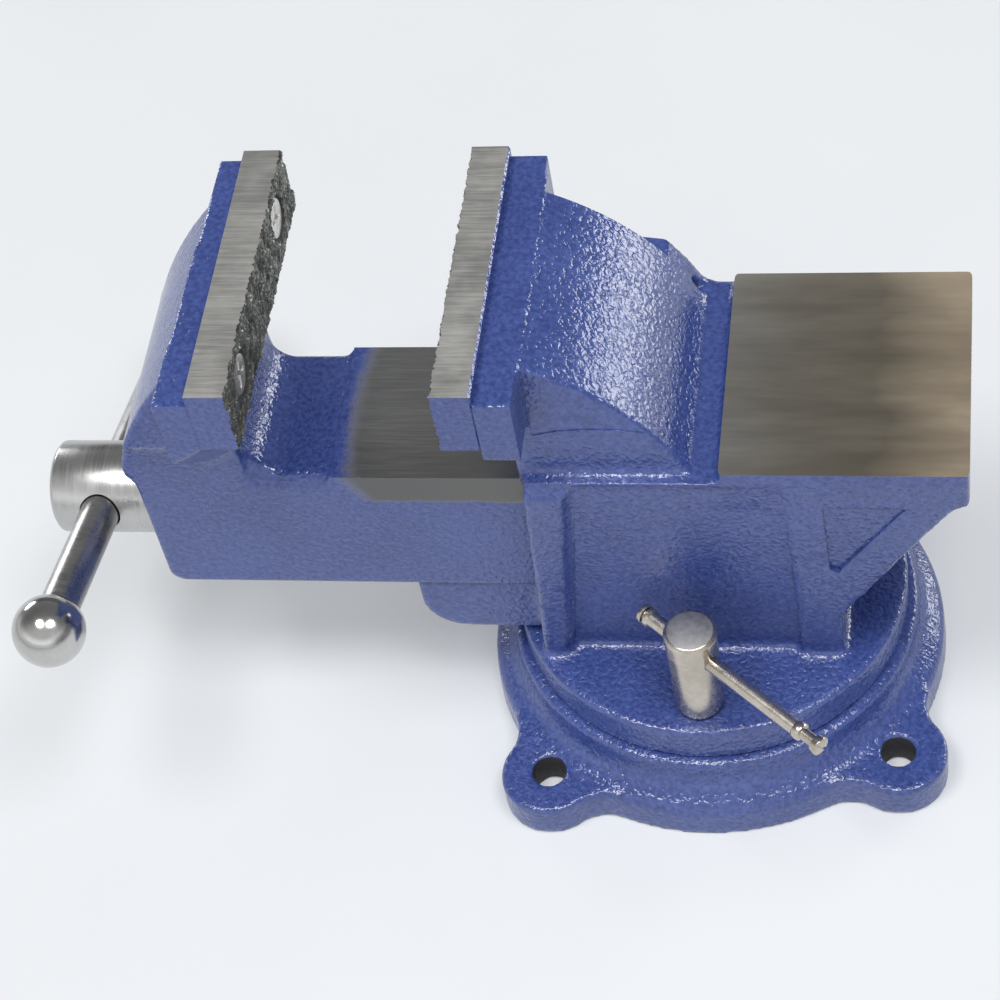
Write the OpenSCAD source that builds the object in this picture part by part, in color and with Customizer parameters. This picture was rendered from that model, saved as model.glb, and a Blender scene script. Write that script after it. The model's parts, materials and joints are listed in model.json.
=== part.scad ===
// Four-inch bench vise on a swivel base, with an anvil behind the fixed jaw.
// +X runs along the slide towards the anvil, +Z is up.
// The origin is on the swivel axis, in the plane of the bench.

/* [Jaws] */
// Length of both jaws
jaw_length = 100; // [90:1:110]
// Gap between the two serrated faces
jaw_opening = 58.8; // [40:0.2:80]
// Height of the jaw tops above the bench
jaw_top = 188; // [184:0.5:194]
// Thickness of a jaw plate
plate_thickness = 12.4; // [10:0.2:14]
// Height of a jaw plate
plate_height = 23.4; // [21:0.2:25]

/* [Slide and screw] */
// Width of the sliding beam
slide_width = 53.4; // [50:0.2:56]
// Height of the machined top of the sliding beam
slide_top = 122.7; // [121:0.1:124]
// Height of the lower edge of the sliding beam
slide_bottom = 67.6; // [66:0.1:69]
// Height of the screw's axis
axis_height = 84.1; // [83:0.1:86]
// Outside diameter of the screw's thread
screw_diameter = 20; // [18:0.5:20]
// Distance the jaw moves for one turn of the screw
screw_lead = 4; // [3:0.5:5]
// Diameter of the screw's head
head_diameter = 30.4; // [27:0.2:31]

/* [Handle] */
// Diameter of the sliding handle bar
bar_diameter = 12.7; // [11:0.1:13]
// Diameter of the ball on each end of the bar
ball_diameter = 23; // [20:0.5:24]
// Distance from the screw's axis to the near ball
near_ball = 74; // [60:1:90]
// Distance between the two balls
ball_spacing = 184; // [160:1:190]
// Rise of the bar towards the near ball, in degrees
bar_tilt = 14.5; // [0:0.5:30]

/* [Anvil and body] */
// Height of the anvil face
anvil_top = 141.4; // [138:0.2:144]
// Distance from the swivel axis to the anvil's free end
anvil_end = 84.8; // [76:0.2:90]
// Width of the anvil
anvil_width = 80; // [76:1:84]

/* [Swivel base] */
// Diameter of the body's round foot
disc_diameter = 128.6; // [127:0.2:130]
// Diameter of the base flange between the lugs
flange_diameter = 152.8; // [151:0.2:156]
// Distance from the swivel axis to a bench bolt
bolt_circle_radius = 80.3; // [78:0.1:82]
// Diameter of the holes for the bench bolts
bench_hole = 11; // [9:0.5:12]
// Turn of the base under the body, in degrees
base_turn = 5.5; // [-20:0.5:20]
// Turn of the near lock bar from the slide's direction, in degrees
lock_bar_turn = -40; // [-44:0.5:0]

/* [Hidden] */
$fn = 64;

// Working gaps
slide_gap = 0.3;
face_gap = 0.05;
thread_gap = 0.07;
bolt_gap = 0.3;

// Jaw positions along the slide
fixed_face = -65.4;
fixed_seat = fixed_face + plate_thickness;
movable_face = fixed_face - jaw_opening;
movable_seat = movable_face - plate_thickness;
land_thickness = 11;
land_top = jaw_top - 3.9;
land_half = jaw_length / 2;
plate_bottom = jaw_top - plate_height;
plate_screw_y = 31.6;
plate_screw_z = plate_bottom + 12.4;
plate_screw_r = 4;
screw_head_r = 7.3;
screw_head_depth = 4;
plate_screw_grip = 8;
tapped_depth = plate_screw_grip + 0.5;

// Sliding beam
slide_half = slide_width / 2;
beam_end = movable_face + 166.2;
channel_half = slide_half - 7;
channel_top = slide_top - 8;
buttress_half = 35.5;
jaw_front = movable_seat - 36.9;
jaw_wall = 15.5;
nose_reach = 39.4;
nose_height = 127;
gusset_bottom = nose_height + 10;
gusset_rise = 10;
throat_floor = slide_top - 1;
machined_start = movable_face + 14.4;
// Fall of the land's underside towards the nose, per millimetre
land_slope = 0.67;

// Screw
thread_r = screw_diameter / 2 - 0.02;
bearing_r = thread_r + thread_gap;
head_r = head_diameter / 2;
head_end = jaw_front - 38.9;
washer_thickness = 2.3;
head_back = jaw_front - washer_thickness - 2 * face_gap;
screw_end = beam_end - 2;
spring_start = jaw_front + jaw_wall + face_gap;
spring_length = 10.8;
collar_start = spring_start + spring_length + face_gap;
collar_width = 10;
collar_r = 15;
pin_r = 1.5;
thread_start = collar_start + collar_width + 3;

// Handle
bar_x = jaw_front - 22.2;
bar_r = bar_diameter / 2;
ball_r = ball_diameter / 2;
far_ball = ball_spacing - near_ball;
spigot_r = 4.2;

// Nut in the body
nut_start = -38;
nut_end = -4;
nut_half = 14;
nut_bolt_x = -21;
floor_top = slide_bottom - slide_gap;
floor_bottom = 57;
m10_r = 5;

// Body
disc_r = disc_diameter / 2;
disc_bottom = 27;
disc_top = 40.8;
spigot_depth = 3;
deck_top = 137;
body_back = 45;
anvil_start = 12.4;
anvil_half = anvil_width / 2;
anvil_bottom = anvil_top - 16.2;
anvil_core_half = anvil_half - 1;
anvil_cavity_half = anvil_half - 9;
core_length = 68;
core_width = 40;
tunnel_half = slide_half + slide_gap;
tunnel_top = slide_top + slide_gap;
wall_foot = 29.5;
wall_head = 39.3;
rim_foot = 32.3;
rim_head = 40;
pillar_extra = 2.4;
pillar_slope = 5;

// Base
flange_r = flange_diameter / 2;
flange_top = 13.6;
lug_r = 15.9;
lug_fillet = 14;
ledge_r = 58.8;
ledge_bottom = 20.5;
cavity_r = 62.5;
base_top = disc_bottom - face_gap;

// Swivel lock
lock_y = 52;
ring_top = ledge_bottom - face_gap;
ring_thickness = 7.4;
ring_bottom = ring_top - ring_thickness;
lock_bolt_top = 66;
lock_nut_r = 8.5;
lock_nut_foot_r = 7.6;
lock_nut_top = 80;
lock_bar_z = 69.8;
lock_bar_r = 2.5;
lock_bar_long = 54;
lock_bar_short = 21.8;

blue = [0.16, 0.22, 0.52];
steel = [0.72, 0.72, 0.70];
dark_steel = [0.36, 0.36, 0.35];
zinc = [0.80, 0.77, 0.72];

// Points along an arc about a centre
function arc(centre, r, from, to, steps) = [
    for (i = [0 : steps])
        let (a = from + (to - from) * i / steps)
        centre + r * [cos(a), sin(a)]
];

// Extrudes a (y, z) outline along X
module along_x(from, to) {
    translate([from, 0, 0])
        rotate([90, 0, 90])
            linear_extrude(to - from)
                children();
}

// Extrudes an (x, z) outline equally to both sides of the middle plane
module along_y(half) {
    rotate([90, 0, 0])
        linear_extrude(2 * half, center = true)
            children();
}

// Round bar along X on the screw's axis
module axial(from, to, r) {
    translate([from, 0, axis_height])
        rotate([0, 90, 0])
            cylinder(h = to - from, r = r);
}

// Turned shape on the screw's axis, from (radius, distance) points
module turned(from, outline) {
    translate([from, 0, axis_height])
        rotate([0, 90, 0])
            rotate_extrude()
                polygon(outline);
}

// Solid that narrows towards the foot, with the side outline given as a child; slope breaks its top edges
module drafted(foot_half, head_half, slope = 0) {
    top_half = head_half - 0.7 * slope;
    intersection() {
        along_y(60)
            children();
        along_x(-120, 120)
            polygon([
                [-foot_half, disc_top], [foot_half, disc_top],
                [head_half, deck_top - slope], [top_half, deck_top], [top_half, anvil_top],
                [-top_half, anvil_top], [-top_half, deck_top], [-head_half, deck_top - slope]
            ]);
    }
}

// ---- Swivel base ----

// One ear of the flange, with hollow corners where it meets the round part
module lug() {
    reach = flange_r + lug_fillet;
    span = lug_r + lug_fillet;
    corner = acos((bolt_circle_radius ^ 2 + reach ^ 2 - span ^ 2) / (2 * bolt_circle_radius * reach));
    linear_extrude(flange_top)
        difference() {
            union() {
                translate([bolt_circle_radius, 0])
                    circle(lug_r);
                polygon([
                    [cavity_r, 0],
                    (cavity_r + 4) * [cos(corner), sin(corner)],
                    reach * [cos(corner), sin(corner)],
                    [bolt_circle_radius, 0],
                    reach * [cos(corner), -sin(corner)],
                    (cavity_r + 4) * [cos(corner), -sin(corner)]
                ]);
            }
            for (side = [-1, 1])
                translate(reach * [cos(corner), side * sin(corner)])
                    circle(lug_fillet);
        }
}

module swivel_base() {
    fillet = 9;
    wall_r = 67.5;
    color(blue)
        rotate([0, 0, base_turn])
            difference() {
                union() {
                    rotate_extrude()
                        polygon(concat(
                            [[cavity_r, 0], [flange_r, 0]],
                            [[flange_r - 0.6, flange_top - 2.4], [flange_r - 2, flange_top - 0.3]],
                            arc([wall_r + fillet, flange_top + fillet], fillet, 240, 180, 8),
                            [[wall_r, base_top - 1], [wall_r - 1, base_top], [ledge_r, base_top]],
                            [[ledge_r, ledge_bottom], [cavity_r, ledge_bottom]]
                        ));
                    for (turn = [45 : 90 : 315])
                        rotate([0, 0, turn])
                            lug();
                }
                for (turn = [45 : 90 : 315])
                    rotate([0, 0, turn])
                        translate([bolt_circle_radius, 0, -1])
                            cylinder(h = base_top, r = bench_hole / 2);
            }
}

module clamp_ring() {
    inner_r = 38;
    color(dark_steel)
        difference() {
            translate([0, 0, ring_bottom])
                cylinder(h = ring_thickness, r = cavity_r - 0.7);
            translate([0, 0, ring_bottom - 1])
                cylinder(h = ring_thickness + 2, r = inner_r);
            for (side = [-1, 1])
                translate([0, side * lock_y, ring_bottom - 1])
                    cylinder(h = ring_thickness + 2, r = m10_r + bolt_gap);
        }
}

module lock_bolts() {
    head_h = 6.4;
    color(dark_steel)
        for (side = [-1, 1])
            translate([0, side * lock_y, 0]) {
                translate([0, 0, ring_bottom - head_h])
                    cylinder(h = head_h, r = 9.2, $fn = 6);
                translate([0, 0, ring_bottom - 1])
                    cylinder(h = lock_bolt_top - ring_bottom + 1, r = m10_r);
            }
}

// ---- Fixed body ----

// Side outline of the body's walls and of the brace under the anvil
module body_side() {
    polygon([
        [-44, disc_top], [body_back, disc_top], [body_back, 63], [72, 110],
        [77, 118.5], [81, 124], [anvil_end, 126.8], [anvil_end, anvil_top],
        [anvil_start, anvil_top], [anvil_start, deck_top], [-44, deck_top]
    ]);
}

// Sunk panel in the body's side, between the pillars
module wall_panel() {
    polygon([[-43, disc_top - 1], [31.8, disc_top - 1], [30.4, deck_top - 1.2], [-32, deck_top - 1.2]]);
}

// Sunk triangle in the brace
module brace_panel() {
    polygon([[41.6, 124.6], [42.3, 90.5], [45.3, 88.8], [67.3, 124.6]]);
}

// Slanting front pillar
module front_pillar() {
    polygon([[-52, disc_top], [-44.7, disc_top], [-33.5, deck_top], [-46, deck_top]]);
}

// Curved back of the fixed jaw, seen from the side
module fixed_buttress() {
    r = 89;
    x = fixed_seat + 13;
    centre = [x - r * sin(26), land_top - 1.6 - r * cos(26)];
    foot = centre + r * [cos(26), sin(26)];
    polygon(concat(
        [[x - 8, deck_top - 6], [x - 8, land_top - 1.6]],
        arc(centre, r, 64, 26, 14),
        [foot + [2.2, -3.4], foot + [4.4, -4.6], [anvil_start, deck_top - 1], [anvil_start, deck_top - 6]]
    ));
}

// Front outline of the buttress, from the top down: upright side, narrow ledge, thicker lower side, deck
module flared(half, deck_half) {
    ledge = 2;
    fillet = 1.6;
    side = concat(
        [[half, jaw_top], [half, deck_top + 18], [half + ledge, deck_top + 17.4]],
        arc([half + ledge + fillet, deck_top + fillet], fillet, 180, 270, 4),
        [[deck_half - 1, deck_top], [deck_half, deck_top - 1], [deck_half, 100]]
    );
    polygon(side);
    mirror([1, 0])
        polygon(side);
    translate([-half, 100])
        square([2 * half, jaw_top - 100]);
}

// Tongue that carries the slide in front of the body
module lip() {
    front = -91.5;
    bottom = 43;
    corner = 14;
    along_y(slide_half - 1.2)
        polygon(concat(
            [[-40, bottom], [-40, floor_top], [front, floor_top]],
            arc([front + corner, bottom + corner], corner, 180, 270, 10)
        ));
}

module fixed_body() {
    jaw_back = fixed_seat + land_thickness;
    color(blue)
        difference() {
            union() {
                translate([0, 0, disc_bottom])
                    cylinder(h = disc_top - disc_bottom, r = disc_r);
                translate([0, 0, disc_bottom - spigot_depth])
                    cylinder(h = spigot_depth + 1, r = ledge_r - 0.1);
                drafted(wall_foot, wall_head)
                    body_side();
                drafted(rim_foot, rim_head)
                    difference() {
                        body_side();
                        wall_panel();
                        brace_panel();
                    }
                drafted(rim_foot + pillar_extra, rim_head + pillar_extra, pillar_slope)
                    front_pillar();
                intersection() {
                    along_y(anvil_half + 2)
                        fixed_buttress();
                    along_x(-60, anvil_start + 1)
                        flared(buttress_half, anvil_half);
                }
                translate([fixed_seat, -land_half, 160])
                    cube([land_thickness, jaw_length, land_top - 160]);
                along_x(-46, jaw_back)
                    intersection() {
                        flared(buttress_half, anvil_half);
                        translate([-60, tunnel_top - 2])
                            square([120, 48]);
                    }
                translate([anvil_start, -anvil_core_half, anvil_bottom])
                    cube([anvil_end - anvil_start, 2 * anvil_core_half, anvil_top - anvil_bottom]);
                lip();
            }
            // tunnel for the slide
            translate([-60, -tunnel_half, floor_top])
                cube([anvil_end + 80, 2 * tunnel_half, tunnel_top - floor_top]);
            // bay under the anvil, between the braces
            translate([body_back, -tunnel_half, disc_top])
                cube([60, 2 * tunnel_half, anvil_bottom - disc_top]);
            // hollow inside the fixed jaw and under the anvil, above the slide
            along_y(buttress_half - 8)
                polygon([
                    [-34, tunnel_top - 1], [-34, 163], [-24, 161],
                    [-6, 141], [-3, tunnel_top + 6], [-3, tunnel_top - 1]
                ]);
            translate([anvil_start + 6, -anvil_cavity_half, tunnel_top - 1])
                cube([body_back - anvil_start - 5, 2 * anvil_cavity_half, anvil_top - 9 - tunnel_top]);
            // core hole up through the foot
            translate([-core_length / 2, -core_width / 2, disc_bottom - spigot_depth - 1])
                cube([core_length, core_width, floor_bottom - disc_bottom + spigot_depth + 1]);
            translate([nut_bolt_x, 0, floor_bottom - 1])
                cylinder(h = floor_top - floor_bottom + 2, r = m10_r + bolt_gap);
            for (side = [-1, 1]) {
                translate([0, side * lock_y, disc_bottom - spigot_depth - 1])
                    cylinder(h = disc_top - disc_bottom + spigot_depth + 2, r = m10_r + bolt_gap);
                translate([fixed_seat - 1, side * plate_screw_y, plate_screw_z])
                    rotate([0, 90, 0])
                        cylinder(h = tapped_depth + 1, r = plate_screw_r + face_gap);
            }
        }
}

// ---- Jaw plates and their screws ----

// Plate with its working face at the given place; way is +1 where the face looks along +X
module jaw_plate(face, way) {
    seat = face - way * plate_thickness;
    color(steel)
        difference() {
            translate([min(face, seat), -land_half, plate_bottom])
                cube([plate_thickness, jaw_length, plate_height]);
            for (side = [-1, 1])
                translate([face, side * plate_screw_y, plate_screw_z])
                    rotate([0, -90 * way, 0]) {
                        translate([0, 0, -1])
                            cylinder(h = plate_thickness + 2, r = plate_screw_r + bolt_gap);
                        translate([0, 0, -1])
                            cylinder(h = 1 + face_gap, r = screw_head_r + 0.15);
                        translate([0, 0, face_gap])
                            cylinder(h = screw_head_depth, r1 = screw_head_r + 0.15, r2 = plate_screw_r);
                    }
        }
}

// Countersunk screws with a cross recess, their heads just below the working face
module jaw_screws(face, way) {
    sunk = 1.2;
    length = plate_thickness + plate_screw_grip;
    slot = 1.6;
    color(dark_steel)
        for (side = [-1, 1])
            translate([face, side * plate_screw_y, plate_screw_z])
                rotate([0, -90 * way, 0])
                    difference() {
                        union() {
                            translate([0, 0, sunk])
                                cylinder(h = screw_head_depth - sunk, r1 = screw_head_r - 1.1, r2 = plate_screw_r);
                            translate([0, 0, screw_head_depth - 0.5])
                                cylinder(h = length - screw_head_depth, r = plate_screw_r);
                        }
                        for (turn = [20, 110])
                            rotate([0, 0, turn])
                                translate([-4.4, -slot / 2, 0])
                                    cube([8.8, slot, sunk + 1.6]);
                    }
}

module fixed_jaw_plate() {
    jaw_plate(fixed_face, -1);
}

module fixed_jaw_screws() {
    jaw_screws(fixed_face, -1);
}

module movable_jaw_plate() {
    jaw_plate(movable_face, 1);
}

module movable_jaw_screws() {
    jaw_screws(movable_face, 1);
}

// ---- Nut in the body ----

module main_nut() {
    color(steel)
        difference() {
            union() {
                axial(nut_start, nut_end, nut_half);
                translate([nut_start, -nut_half, floor_top])
                    cube([nut_end - nut_start, 2 * nut_half, axis_height - floor_top]);
            }
            axial(nut_start - 1, nut_end + 1, bearing_r);
            translate([nut_bolt_x, 0, floor_top - 1])
                cylinder(h = 6.5, r = m10_r + face_gap);
        }
}

module nut_washer() {
    color(zinc)
        translate([nut_bolt_x, 0, floor_bottom - 2])
            difference() {
                cylinder(h = 2, r = 10);
                translate([0, 0, -1])
                    cylinder(h = 4, r = m10_r + bolt_gap);
            }
}

module nut_bolt() {
    head_h = 6.4;
    color(dark_steel)
        translate([nut_bolt_x, 0, floor_bottom - 2 - head_h]) {
            cylinder(h = head_h, r = 9.2, $fn = 6);
            cylinder(h = head_h + 2 + floor_top - floor_bottom + 5, r = m10_r);
        }
}

// ---- Movable jaw ----

// Side outline of the jaw, from the nose round to the throat
module movable_side() {
    r = 133;
    x = movable_seat - 10.4;
    centre = [x + r * sin(48), land_top - 4.6 - r * cos(48)];
    throat = 12;
    polygon(concat(
        [[movable_seat, land_top - 4.6]],
        arc(centre, r, 138, 164, 13),
        [
            [movable_seat - nose_reach, nose_height - 5],
            [movable_seat - nose_reach + 2, nose_height - 8],
            [jaw_front, nose_height - 11]
        ],
        arc([jaw_front + 5, slide_bottom + 5], 5, 180, 270, 6),
        [[machined_start, slide_bottom], [machined_start, throat_floor]],
        arc([movable_seat + throat, throat_floor + throat], throat, 270, 180, 8)
    ));
}

// Front outline of the throat, its top edges broken
module throat_front() {
    edge = 3;
    polygon([
        [-slide_half, slide_bottom], [slide_half, slide_bottom],
        [slide_half, throat_floor - edge], [slide_half - edge, throat_floor],
        [slide_half - edge, jaw_top], [-slide_half + edge, jaw_top],
        [-slide_half + edge, throat_floor], [-slide_half, throat_floor - edge]
    ]);
}

// Front outline: wide at the jaw, narrow at the slide
module movable_front() {
    polygon([
        [-slide_half, slide_bottom], [slide_half, slide_bottom], [slide_half, gusset_bottom],
        [buttress_half, gusset_bottom + gusset_rise], [buttress_half, jaw_top],
        [-buttress_half, jaw_top], [-buttress_half, gusset_bottom + gusset_rise], [-slide_half, gusset_bottom]
    ]);
}

// Front outline of the land where it meets the plate, carried by a gusset that slopes in to the slide
module land_front() {
    land_bottom = plate_bottom - 0.4;
    headroom = 10;
    polygon([
        [slide_half, gusset_bottom], [land_half, land_bottom], [land_half, jaw_top + headroom],
        [-land_half, jaw_top + headroom], [-land_half, land_bottom], [-slide_half, gusset_bottom]
    ]);
}

module movable_jaw() {
    color(blue)
        difference() {
            union() {
                intersection() {
                    along_y(buttress_half + 1)
                        movable_side();
                    union() {
                        along_x(movable_seat - 60, movable_seat)
                            movable_front();
                        along_x(movable_seat, machined_start)
                            throat_front();
                    }
                }
                intersection() {
                    multmatrix([[1, 0, 0, 0], [0, 1, 0, 0], [land_slope, 0, 1, -land_slope * movable_seat]])
                        along_x(movable_seat - 60, movable_seat)
                            land_front();
                    translate([0, 0, nose_height])
                        linear_extrude(land_top - nose_height)
                            polygon([
                                [movable_seat, -land_half], [movable_seat, land_half],
                                [movable_seat - land_thickness + 2.5, land_half],
                                [movable_seat - land_thickness, -land_half]
                            ]);
                }
                translate([machined_start - 1, -slide_half, slide_bottom])
                    cube([beam_end - machined_start + 1, slide_width, slide_top - slide_bottom]);
            }
            // channel under the slide, round the screw
            translate([jaw_front + jaw_wall, -channel_half, slide_bottom - 1])
                cube([beam_end - jaw_front, 2 * channel_half, channel_top - slide_bottom + 1]);
            // hollow inside the jaw head
            along_y(channel_half)
                polygon([
                    [jaw_front + jaw_wall, channel_top - 1], [movable_seat - 6, channel_top - 1],
                    [movable_seat - 6, 156], [jaw_front + jaw_wall + 3, 156], [jaw_front + jaw_wall, 150]
                ]);
            axial(jaw_front - 1, jaw_front + jaw_wall + 1, bearing_r);
            for (side = [-1, 1])
                translate([movable_seat + 1, side * plate_screw_y, plate_screw_z])
                    rotate([0, -90, 0])
                        cylinder(h = tapped_depth + 1, r = plate_screw_r + face_gap);
        }
}

// ---- Screw ----

// Thread crests and roots, spaced by the lead
function thread_outline(from, to, crest, root) = [
    for (s = [from : screw_lead : to - screw_lead])
        each [[root, s], [crest, s + screw_lead * 0.14], [crest, s + screw_lead * 0.5], [root, s + screw_lead * 0.64]]
];

module lead_screw() {
    journal = head_back - head_end;
    full = screw_end - head_end;
    root = thread_r - 2;
    color(steel)
        difference() {
            turned(head_end, concat(
                [[0, 0], [head_r - 1.4, 0], [head_r, 1.4], [head_r, journal - 1], [head_r - 1, journal]],
                [[thread_r, journal], [thread_r, thread_start - head_end - 1]],
                thread_outline(thread_start - head_end, full - 3, thread_r, root),
                [[root, full], [0, full]]
            ));
            translate([bar_x, 0, axis_height])
                rotate([90 - bar_tilt, 0, 0])
                    cylinder(h = 4 * head_r, r = bar_r + 0.1, center = true);
            translate([collar_start + collar_width / 2, 0, axis_height])
                cylinder(h = 4 * head_r, r = pin_r + face_gap, center = true);
        }
}

module thrust_washer() {
    color(zinc)
        difference() {
            axial(jaw_front - washer_thickness - face_gap, jaw_front - face_gap, 16.5);
            axial(jaw_front - washer_thickness - 2, jaw_front + 2, bearing_r + 0.1);
        }
}

// Coil of round wire about the screw's axis
module return_spring() {
    wire_r = 1.1;
    coil_r = thread_r + wire_r + 0.6;
    turns = 3;
    per_turn = 24;
    sides = 10;
    steps = turns * per_turn;
    rise = spring_length - 2 * wire_r;
    points = [
        for (i = [0 : steps])
            for (k = [0 : sides - 1])
                let (a = 360 * i / per_turn, b = 360 * k / sides, r = coil_r + wire_r * cos(b))
                [spring_start + wire_r + rise * i / steps + wire_r * sin(b), r * cos(a), axis_height + r * sin(a)]
    ];
    skin = [
        for (i = [0 : steps - 1])
            for (k = [0 : sides - 1])
                let (p = i * sides + k, q = i * sides + (k + 1) % sides)
                [p, q, q + sides, p + sides]
    ];
    first_end = [for (k = [sides - 1 : -1 : 0]) k];
    last_end = [for (k = [0 : sides - 1]) steps * sides + k];
    color(dark_steel)
        polyhedron(points, concat(skin, [first_end, last_end]));
}

module retaining_collar() {
    color(dark_steel)
        difference() {
            axial(collar_start, collar_start + collar_width, collar_r);
            axial(collar_start - 1, collar_start + collar_width + 1, thread_r + face_gap);
            translate([collar_start + collar_width / 2, 0, axis_height])
                cylinder(h = 4 * head_r, r = pin_r + face_gap, center = true);
        }
}

module collar_pin() {
    color(zinc)
        translate([collar_start + collar_width / 2, 0, axis_height])
            cylinder(h = 2 * collar_r - 0.6, r = pin_r, center = true);
}

// ---- Handle ----

// Places a shape drawn along Z onto the handle's line, pointing to the near ball
module on_handle() {
    translate([bar_x, 0, axis_height])
        rotate([90 - bar_tilt, 0, 0])
            children();
}

module handle_bar() {
    shoulder = 9;
    color(steel)
        on_handle() {
            translate([0, 0, -far_ball + shoulder])
                cylinder(h = ball_spacing - 2 * shoulder, r = bar_r);
            translate([0, 0, -far_ball - 2])
                cylinder(h = ball_spacing + 4, r = spigot_r);
        }
}

// Ball whose bore looks back along the bar
module handle_ball(distance, way) {
    shoulder = 9;
    color(steel)
        on_handle()
            translate([0, 0, distance])
                rotate([way > 0 ? 180 : 0, 0, 0])
                    difference() {
                        sphere(ball_r);
                        translate([0, 0, -2 - face_gap])
                            cylinder(h = ball_r + 4, r = spigot_r + face_gap);
                        translate([0, 0, shoulder - face_gap])
                            cylinder(h = ball_r, r = bar_r + face_gap);
                    }
}

module handle_ball_near() {
    handle_ball(near_ball, 1);
}

module handle_ball_far() {
    handle_ball(-far_ball, -1);
}

// ---- Swivel locks ----

// Tall nut with a cross hole for its bar
module lock_nut(turn) {
    foot = disc_top + face_gap;
    height = lock_nut_top - foot;
    color(zinc)
        difference() {
            translate([0, 0, foot])
                rotate_extrude()
                    polygon([
                        [0, 0], [lock_nut_foot_r - 1.4, 0], [lock_nut_foot_r - 0.3, 0.5],
                        [lock_nut_foot_r, 1.6], [lock_nut_r, height - 1], [lock_nut_r - 1, height], [0, height]
                    ]);
            translate([0, 0, foot - 1])
                cylinder(h = lock_bolt_top - foot + 1.4, r = m10_r + thread_gap);
            translate([0, 0, lock_bar_z])
                rotate([0, 90, turn])
                    cylinder(h = 4 * lock_nut_r, r = lock_bar_r + thread_gap, center = true);
        }
}

// Bar with a grooved short end and a collar, a neck and a flat head on the long end
module lock_bar(turn) {
    ring_r = lock_bar_r + 0.7;
    neck_r = lock_bar_r - 0.5;
    short_end = -lock_bar_short;
    collar_end = lock_bar_long - 7.4;
    head_start = lock_bar_long - 2.4;
    color(zinc)
        translate([0, 0, lock_bar_z])
            rotate([0, 90, turn])
                rotate_extrude()
                    polygon([
                        [0, short_end], [ring_r - 0.4, short_end], [ring_r, short_end + 0.4],
                        [ring_r, short_end + 1.4], [neck_r, short_end + 1.8], [neck_r, short_end + 2.3],
                        [ring_r, short_end + 2.7], [ring_r, short_end + 3.6], [lock_bar_r, short_end + 4.2],
                        [lock_bar_r, collar_end - 3], [ring_r - 0.2, collar_end - 2.6],
                        [ring_r - 0.2, collar_end - 0.4], [neck_r, collar_end],
                        [neck_r, head_start], [ring_r, head_start],
                        [ring_r, lock_bar_long - 0.4], [ring_r - 0.4, lock_bar_long], [0, lock_bar_long]
                    ]);
}

module lock_nut_near() {
    translate([0, -lock_y, 0])
        lock_nut(lock_bar_turn);
}

module lock_bar_near() {
    translate([0, -lock_y, 0])
        lock_bar(lock_bar_turn);
}

module lock_nut_far() {
    translate([0, lock_y, 0])
        lock_nut(lock_bar_turn + 180);
}

module lock_bar_far() {
    translate([0, lock_y, 0])
        lock_bar(lock_bar_turn + 180);
}

swivel_base();
clamp_ring();
lock_bolts();
fixed_body();
fixed_jaw_plate();
fixed_jaw_screws();
main_nut();
nut_bolt();
nut_washer();
movable_jaw();
movable_jaw_plate();
movable_jaw_screws();
lead_screw();
thrust_washer();
return_spring();
retaining_collar();
collar_pin();
handle_bar();
handle_ball_near();
handle_ball_far();
lock_nut_near();
lock_bar_near();
lock_nut_far();
lock_bar_far();
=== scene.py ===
import json
import math

import bmesh
import bpy
import numpy as np
from mathutils import Matrix, Vector


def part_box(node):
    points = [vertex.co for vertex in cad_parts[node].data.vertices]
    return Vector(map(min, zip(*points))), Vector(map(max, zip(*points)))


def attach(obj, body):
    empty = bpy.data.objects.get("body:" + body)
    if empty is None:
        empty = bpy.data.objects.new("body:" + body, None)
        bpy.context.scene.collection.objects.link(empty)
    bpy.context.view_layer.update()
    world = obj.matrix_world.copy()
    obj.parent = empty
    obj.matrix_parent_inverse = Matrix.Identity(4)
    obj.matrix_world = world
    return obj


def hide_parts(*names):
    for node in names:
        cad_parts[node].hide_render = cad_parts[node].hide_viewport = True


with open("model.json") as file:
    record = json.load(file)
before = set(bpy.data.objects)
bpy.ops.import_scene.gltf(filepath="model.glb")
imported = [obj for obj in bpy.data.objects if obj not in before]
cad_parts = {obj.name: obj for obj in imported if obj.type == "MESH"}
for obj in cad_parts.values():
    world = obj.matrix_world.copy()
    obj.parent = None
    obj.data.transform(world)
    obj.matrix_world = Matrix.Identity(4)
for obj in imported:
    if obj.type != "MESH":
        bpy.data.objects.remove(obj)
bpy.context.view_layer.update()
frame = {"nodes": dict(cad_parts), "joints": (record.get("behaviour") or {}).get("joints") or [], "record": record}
NODES = frame["nodes"]
JOINTS = {joint["name"]: joint for joint in frame["joints"]}
MOUNTS = {mount["name"]: mount for mount in frame["record"]["mounts"]}
MM = 0.001


# ---------------------------------------------------------------- places and sizes, in millimetres

def box_of(node):
    """Lowest and highest corners of a CAD node."""
    low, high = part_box(node)
    return low / MM, high / MM


movable_low, movable_high = box_of("movable_jaw")
movable_plate_low, movable_plate_high = box_of("movable_jaw_plate")
_, fixed_plate_high = box_of("fixed_jaw_plate")
_, body_high = box_of("fixed_body")
_, base_high = box_of("swivel_base")
screw_low, screw_high = box_of("lead_screw")
washer_low, _ = box_of("thrust_washer")
_, collar_high = box_of("retaining_collar")
bar_low, bar_high = box_of("handle_bar")
near_ball_low, near_ball_high = box_of("handle_ball_near")
far_ball_low, far_ball_high = box_of("handle_ball_far")
near_nut_low, near_nut_high = box_of("lock_nut_near")
lock_bar_low, lock_bar_high = box_of("lock_bar_near")

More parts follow.
